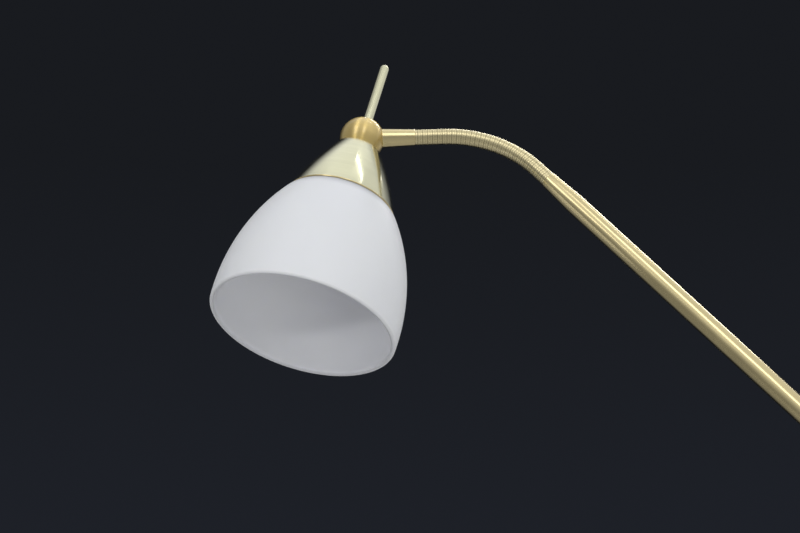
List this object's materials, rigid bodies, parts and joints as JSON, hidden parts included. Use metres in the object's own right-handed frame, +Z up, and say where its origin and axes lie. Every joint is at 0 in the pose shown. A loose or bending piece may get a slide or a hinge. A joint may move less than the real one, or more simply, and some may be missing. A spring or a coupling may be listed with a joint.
{
  "type": "floor lamp",
  "caption": "Floor reading lamp: round weighted base, slim pole with a dimmer, swinging tilting arm and a ribbed bendable neck carrying a bell-shaped opal glass shade.",
  "frame": {"origin": "centre of the base's underside, on the floor under the pole", "axes": "+Z up along the pole; the arm and the head reach towards -X in the XZ plane; the cord inlet is on +X"},
  "size_m": [0.5899, 0.23, 1.3709],
  "materials": {
    "satin_brass": "satin brushed and lacquered",
    "polished_brass": "turned and polished",
    "ribbed_brass": "satin, wound ribs",
    "inner_brass": "plain turned",
    "opal_glass": "opal white, satin matt",
    "frosted_glass": "frosted",
    "cast_iron": "as cast",
    "felt": "pressed felt",
    "black_rubber": "matt",
    "steel": "zinc plated",
    "nylon": "natural",
    "dark_plastic": "moulded",
    "gasket_rubber": "silicone",
    "porcelain": "unglazed porcelain"
  },
  "bodies": {
    "stand": {"base_pad": "felt", "base_weight": "cast_iron", "base_cover": "satin_brass", "cord_grommet": "black_rubber", "base_washer": "steel", "base_nut": "steel", "base_nipple": "inner_brass", "pole_foot": "satin_brass", "pole_foot_plug": "inner_brass", "pole_lower_tube": "satin_brass", "pole_coupler": "satin_brass", "pole_upper_tube": "satin_brass", "dimmer_housing": "satin_brass", "dimmer_control": "dark_plastic", "dimmer_nut": "steel", "swivel_cap": "satin_brass"},
    "dial": {"dimmer_spindle": "steel", "dimmer_knob": "satin_brass", "knob_grub_screw": "steel"},
    "swivel": {"knuckle_fork": "satin_brass", "swivel_washer": "nylon", "swivel_nut": "inner_brass", "friction_discs": "nylon", "pivot_screw": "polished_brass", "pivot_cap_nut": "polished_brass"},
    "arm": {"arm_knuckle": "satin_brass", "arm_tube": "satin_brass", "neck_lower_end": "ribbed_brass"},
    "neck_link_01": {"neck_link_01": "ribbed_brass"},
    "neck_link_02": {"neck_link_02": "ribbed_brass"},
    "neck_link_03": {"neck_link_03": "ribbed_brass"},
    "neck_link_04": {"neck_link_04": "ribbed_brass"},
    "neck_link_05": {"neck_link_05": "ribbed_brass"},
    "neck_link_06": {"neck_link_06": "ribbed_brass"},
    "neck_link_07": {"neck_link_07": "ribbed_brass"},
    "neck_link_08": {"neck_link_08": "ribbed_brass"},
    "neck_link_09": {"neck_link_09": "ribbed_brass"},
    "neck_link_10": {"neck_link_10": "ribbed_brass"},
    "neck_link_11": {"neck_link_11": "ribbed_brass"},
    "neck_link_12": {"neck_link_12": "ribbed_brass"},
    "neck_link_13": {"neck_link_13": "ribbed_brass"},
    "neck_link_14": {"neck_link_14": "ribbed_brass"},
    "neck_link_15": {"neck_link_15": "ribbed_brass"},
    "head": {"neck_upper_end": "ribbed_brass", "neck_ferrule": "satin_brass", "head_ball": "polished_brass", "handle_rod": "satin_brass", "shade_glass": "opal_glass", "shade_cone": "satin_brass", "head_nipple": "inner_brass", "head_nuts": "inner_brass", "shade_sleeve": "inner_brass", "shade_gasket": "gasket_rubber", "shade_ring": "inner_brass", "lampholder_bracket": "steel", "lampholder": "porcelain", "lampholder_screws": "steel", "bulb_pins": "steel", "bulb_envelope": "frosted_glass"}
  },
  "joints": [
    {"name": "dimmer_turn", "type": "hinge", "parent": "stand", "child": "dial", "pos_m": [0, 0, 0.92045], "axis": [-1, 0, 0], "range_deg": [0, 270]},
    {"name": "arm_swivel", "type": "hinge", "parent": "stand", "child": "swivel", "pos_m": [0, 0, 0.96], "axis": [0, 0, 1], "range_deg": [-160, 160]},
    {"name": "arm_tilt", "type": "hinge", "parent": "swivel", "child": "arm", "pos_m": [0, 0, 0.98], "axis": [0, 1, 0], "range_deg": [-46, 40]},
    {"name": "neck_pitch_1", "type": "hinge", "parent": "arm", "child": "neck_link_01", "pos_m": [-0.2714, 0, 1.29062], "axis": [0, 1, 0], "range_deg": [-6.5, 6.5]},
    {"name": "neck_yaw_1", "type": "hinge", "parent": "neck_link_01", "child": "neck_link_02", "pos_m": [-0.27469, 0, 1.29394], "axis": [0.6889, 0, 0.7249], "range_deg": [-6.5, 6.5]},
    {"name": "neck_pitch_2", "type": "hinge", "parent": "neck_link_02", "child": "neck_link_03", "pos_m": [-0.27818, 0, 1.29706], "axis": [0, 1, 0], "range_deg": [-6.5, 6.5]},
    {"name": "neck_yaw_2", "type": "hinge", "parent": "neck_link_03", "child": "neck_link_04", "pos_m": [-0.28186, 0, 1.29995], "axis": [0.5933, 0, 0.805], "range_deg": [-6.5, 6.5]},
    {"name": "neck_pitch_3", "type": "hinge", "parent": "neck_link_04", "child": "neck_link_05", "pos_m": [-0.28571, 0, 1.30261], "axis": [0, 1, 0], "range_deg": [-6.5, 6.5]},
    {"name": "neck_yaw_3", "type": "hinge", "parent": "neck_link_05", "child": "neck_link_06", "pos_m": [-0.28972, 0, 1.30502], "axis": [0.4885, 0, 0.8726], "range_deg": [-6.5, 6.5]},
    {"name": "neck_pitch_4", "type": "hinge", "parent": "neck_link_06", "child": "neck_link_07", "pos_m": [-0.29387, 0, 1.30718], "axis": [0, 1, 0], "range_deg": [-6.5, 6.5]},
    {"name": "neck_yaw_4", "type": "hinge", "parent": "neck_link_07", "child": "neck_link_08", "pos_m": [-0.29815, 0, 1.30907], "axis": [0.3761, 0, 0.9266], "range_deg": [-6.5, 6.5]},
    {"name": "neck_pitch_5", "type": "hinge", "parent": "neck_link_08", "child": "neck_link_09", "pos_m": [-0.30254, 0, 1.3107], "axis": [0, 1, 0], "range_deg": [-6.5, 6.5]},
    {"name": "neck_yaw_5", "type": "hinge", "parent": "neck_link_09", "child": "neck_link_10", "pos_m": [-0.30702, 0, 1.31204], "axis": [0.2578, 0, 0.9662], "range_deg": [-6.5, 6.5]},
    {"name": "neck_pitch_6", "type": "hinge", "parent": "neck_link_10", "child": "neck_link_11", "pos_m": [-0.31157, 0, 1.31311], "axis": [0, 1, 0], "range_deg": [-6.5, 6.5]},
    {"name": "neck_yaw_6", "type": "hinge", "parent": "neck_link_11", "child": "neck_link_12", "pos_m": [-0.31619, 0, 1.31389], "axis": [0.1355, 0, 0.9908], "range_deg": [-6.5, 6.5]},
    {"name": "neck_pitch_7", "type": "hinge", "parent": "neck_link_12", "child": "neck_link_13", "pos_m": [-0.32084, 0, 1.31438], "axis": [0, 1, 0], "range_deg": [-6.5, 6.5]},
    {"name": "neck_yaw_7", "type": "hinge", "parent": "neck_link_13", "child": "neck_link_14", "pos_m": [-0.32552, 0, 1.31458], "axis": [0.0112, 0, 0.9999], "range_deg": [-6.5, 6.5]},
    {"name": "neck_pitch_8", "type": "hinge", "parent": "neck_link_14", "child": "neck_link_15", "pos_m": [-0.3302, 0, 1.31449], "axis": [0, 1, 0], "range_deg": [-6.5, 6.5]},
    {"name": "neck_yaw_8", "type": "hinge", "parent": "neck_link_15", "child": "head", "pos_m": [-0.33487, 0, 1.31433], "axis": [-0.0349, 0, 0.9994], "range_deg": [-6.5, 6.5]}
  ]
}
